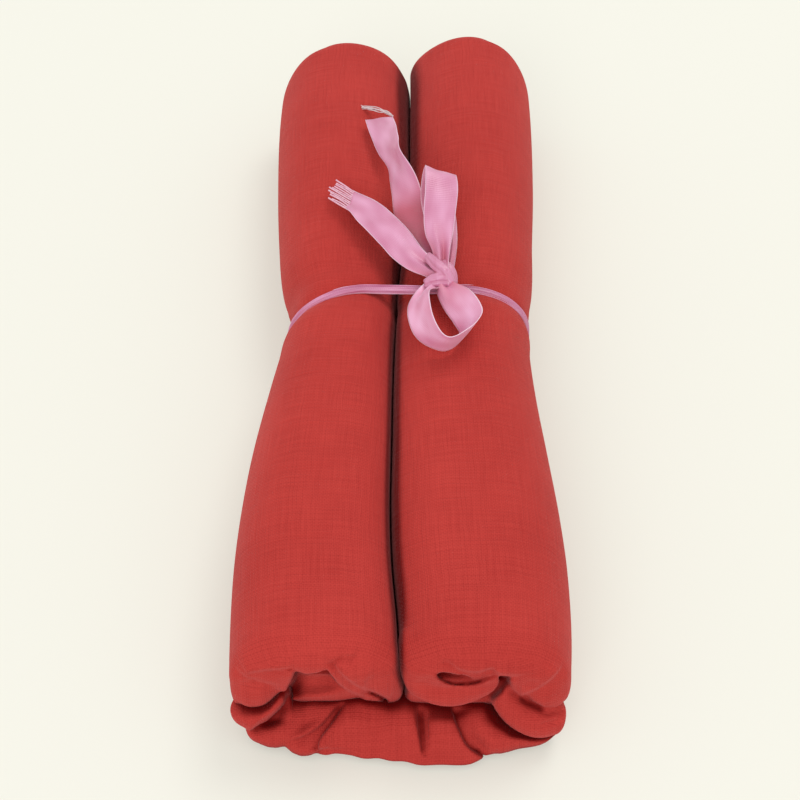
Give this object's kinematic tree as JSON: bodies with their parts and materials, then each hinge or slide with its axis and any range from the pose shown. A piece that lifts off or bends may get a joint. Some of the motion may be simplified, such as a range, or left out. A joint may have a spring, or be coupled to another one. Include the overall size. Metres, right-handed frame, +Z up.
{
  "type": "rolled turban cloth tied with a ribbon",
  "caption": "Long soft turban cloth, folded into a pad and rolled from both ends into side by side rolls, tied round the middle with a satin ribbon bow.",
  "frame": {"origin": "bottom centre of the box round the whole thing, on the surface that it lies on", "axes": "X runs across the two rolls, Y runs along them with the near end of the picture at -Y, Z is up; the tie with its knot is on top"},
  "size_m": [0.136, 0.4, 0.0852],
  "materials": {
    "turban_cotton": "fine plain weave cotton voile in coral red, matt and soft",
    "pink_satin": "pink polyester satin ribbon with a soft sheen, fine cross ribs and woven edges"
  },
  "bodies": {
    "root": {"base_pad": "turban_cotton", "left_roll": "turban_cotton", "right_roll": "turban_cotton", "ribbon_wrap": "pink_satin", "ribbon_knot": "pink_satin", "upper_tail": "pink_satin", "left_tail": "pink_satin", "upper_loop": "pink_satin", "lower_loop": "pink_satin"}
  },
  "joints": []
}
